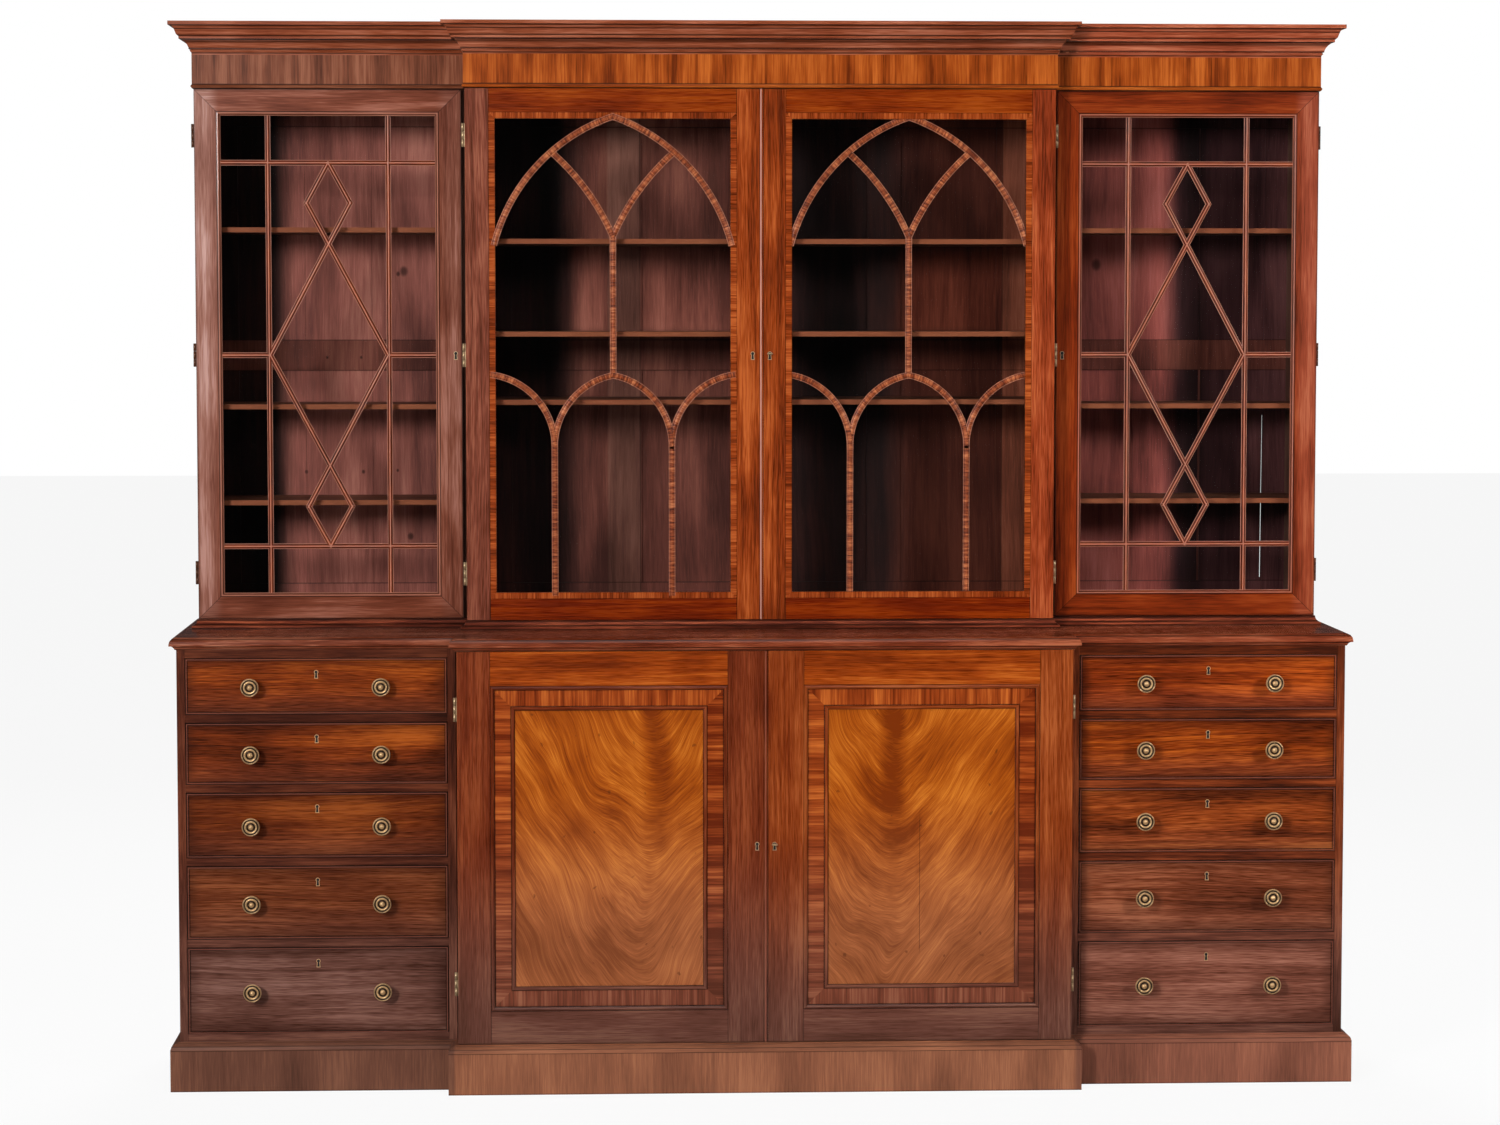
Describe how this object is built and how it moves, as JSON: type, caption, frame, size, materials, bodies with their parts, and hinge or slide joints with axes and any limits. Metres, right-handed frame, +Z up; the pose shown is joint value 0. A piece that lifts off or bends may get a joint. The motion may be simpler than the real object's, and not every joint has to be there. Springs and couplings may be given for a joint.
{
  "type": "breakfront bookcase",
  "caption": "Mahogany breakfront bookcase: glazed upper doors with Gothic tracery and lozenge bars, over drawers and a panelled cupboard.",
  "frame": {"origin": "on the floor at the middle of the plan: half of the cornice's width, half of the depth over the plinth", "axes": "+Z up; -Y is the front with the doors and drawers; +Y is the back against a wall; +X is to the right as seen from the front"},
  "size_m": [2.614, 0.6, 2.343],
  "materials": {
    "case_mahogany": "french polished, worn",
    "door_mahogany": "french polished, worn",
    "drawer_mahogany": "french polished, worn",
    "crossbanded_mahogany": "french polished, worn, grain across the length",
    "figured_mahogany": "french polished, worn, flame figure",
    "stained_pine": "stained, unpolished",
    "glass": "clear",
    "brass": "aged, lacquered"
  },
  "bodies": {
    "case": {"centre_back": "stained_pine", "centre_shelves": "case_mahogany", "cornice": "case_mahogany", "counter_top": "case_mahogany", "cupboard_shelf": "case_mahogany", "drawer_rails": "case_mahogany", "drawer_runners": "stained_pine", "frieze": "crossbanded_mahogany", "hinge_leaves": "brass", "lower_backs": "stained_pine", "lower_case_boards": "case_mahogany", "lower_case_sides": "case_mahogany", "plinth": "crossbanded_mahogany", "upper_case_boards": "case_mahogany", "upper_case_sides": "case_mahogany", "waist_moulding": "case_mahogany", "wing_backs": "stained_pine", "wing_shelves": "case_mahogany"},
    "wing_door_right": {"wing_door_right_bars": "door_mahogany", "wing_door_right_brass": "brass", "wing_door_right_frame": "door_mahogany", "wing_door_right_glass": "glass"},
    "arch_door_right": {"arch_door_right_brass": "brass", "arch_door_right_frame": "door_mahogany", "arch_door_right_glass": "glass", "arch_door_right_tracery": "crossbanded_mahogany"},
    "cupboard_door_right": {"cupboard_door_right_brass": "brass", "cupboard_door_right_frame": "door_mahogany", "cupboard_door_right_panel": "figured_mahogany"},
    "drawer_right_1": {"drawer_right_1": "drawer_mahogany", "drawer_right_1_brass": "brass"},
    "drawer_right_2": {"drawer_right_2": "drawer_mahogany", "drawer_right_2_brass": "brass"},
    "drawer_right_3": {"drawer_right_3": "drawer_mahogany", "drawer_right_3_brass": "brass"},
    "drawer_right_4": {"drawer_right_4": "drawer_mahogany", "drawer_right_4_brass": "brass"},
    "drawer_right_5": {"drawer_right_5": "drawer_mahogany", "drawer_right_5_brass": "brass"},
    "wing_door_left": {"wing_door_left_bars": "door_mahogany", "wing_door_left_brass": "brass", "wing_door_left_frame": "door_mahogany", "wing_door_left_glass": "glass"},
    "arch_door_left": {"arch_door_left_brass": "brass", "arch_door_left_frame": "door_mahogany", "arch_door_left_glass": "glass", "arch_door_left_tracery": "crossbanded_mahogany"},
    "cupboard_door_left": {"cupboard_door_left_brass": "brass", "cupboard_door_left_frame": "door_mahogany", "cupboard_door_left_panel": "figured_mahogany"},
    "drawer_left_1": {"drawer_left_1": "drawer_mahogany", "drawer_left_1_brass": "brass"},
    "drawer_left_2": {"drawer_left_2": "drawer_mahogany", "drawer_left_2_brass": "brass"},
    "drawer_left_3": {"drawer_left_3": "drawer_mahogany", "drawer_left_3_brass": "brass"},
    "drawer_left_4": {"drawer_left_4": "drawer_mahogany", "drawer_left_4_brass": "brass"},
    "drawer_left_5": {"drawer_left_5": "drawer_mahogany", "drawer_left_5_brass": "brass"}
  },
  "joints": [
    {"name": "wing_door_right_hinge", "type": "hinge", "parent": "case", "child": "wing_door_right", "pos_m": [1.2618, 0.0313, 1.6075], "axis": [0, 0, 1], "range_deg": [0, 150]},
    {"name": "arch_door_right_hinge", "type": "hinge", "parent": "case", "child": "arch_door_right", "pos_m": [0.6608, -0.0287, 1.6075], "axis": [0, 0, 1], "range_deg": [0, 150]},
    {"name": "cupboard_door_right_hinge", "type": "hinge", "parent": "case", "child": "cupboard_door_right", "pos_m": [0.6768, -0.2567, 0.541], "axis": [0, 0, 1], "range_deg": [0, 150]},
    {"name": "drawer_right_1_slide", "type": "slide", "parent": "case", "child": "drawer_right_1", "axis": [0, 1, 0], "range_m": [-0.38, 0]},
    {"name": "drawer_right_2_slide", "type": "slide", "parent": "case", "child": "drawer_right_2", "axis": [0, 1, 0], "range_m": [-0.38, 0]},
    {"name": "drawer_right_3_slide", "type": "slide", "parent": "case", "child": "drawer_right_3", "axis": [0, 1, 0], "range_m": [-0.38, 0]},
    {"name": "drawer_right_4_slide", "type": "slide", "parent": "case", "child": "drawer_right_4", "axis": [0, 1, 0], "range_m": [-0.38, 0]},
    {"name": "drawer_right_5_slide", "type": "slide", "parent": "case", "child": "drawer_right_5", "axis": [0, 1, 0], "range_m": [-0.38, 0]},
    {"name": "wing_door_left_hinge", "type": "hinge", "parent": "case", "child": "wing_door_left", "pos_m": [-1.2618, 0.0313, 1.6075], "axis": [0, 0, -1], "range_deg": [0, 150]},
    {"name": "arch_door_left_hinge", "type": "hinge", "parent": "case", "child": "arch_door_left", "pos_m": [-0.6608, -0.0287, 1.6075], "axis": [0, 0, -1], "range_deg": [0, 150]},
    {"name": "cupboard_door_left_hinge", "type": "hinge", "parent": "case", "child": "cupboard_door_left", "pos_m": [-0.6768, -0.2567, 0.541], "axis": [0, 0, -1], "range_deg": [0, 150]},
    {"name": "drawer_left_1_slide", "type": "slide", "parent": "case", "child": "drawer_left_1", "axis": [0, 1, 0], "range_m": [-0.38, 0]},
    {"name": "drawer_left_2_slide", "type": "slide", "parent": "case", "child": "drawer_left_2", "axis": [0, 1, 0], "range_m": [-0.38, 0]},
    {"name": "drawer_left_3_slide", "type": "slide", "parent": "case", "child": "drawer_left_3", "axis": [0, 1, 0], "range_m": [-0.38, 0]},
    {"name": "drawer_left_4_slide", "type": "slide", "parent": "case", "child": "drawer_left_4", "axis": [0, 1, 0], "range_m": [-0.38, 0]},
    {"name": "drawer_left_5_slide", "type": "slide", "parent": "case", "child": "drawer_left_5", "axis": [0, 1, 0], "range_m": [-0.38, 0]}
  ]
}
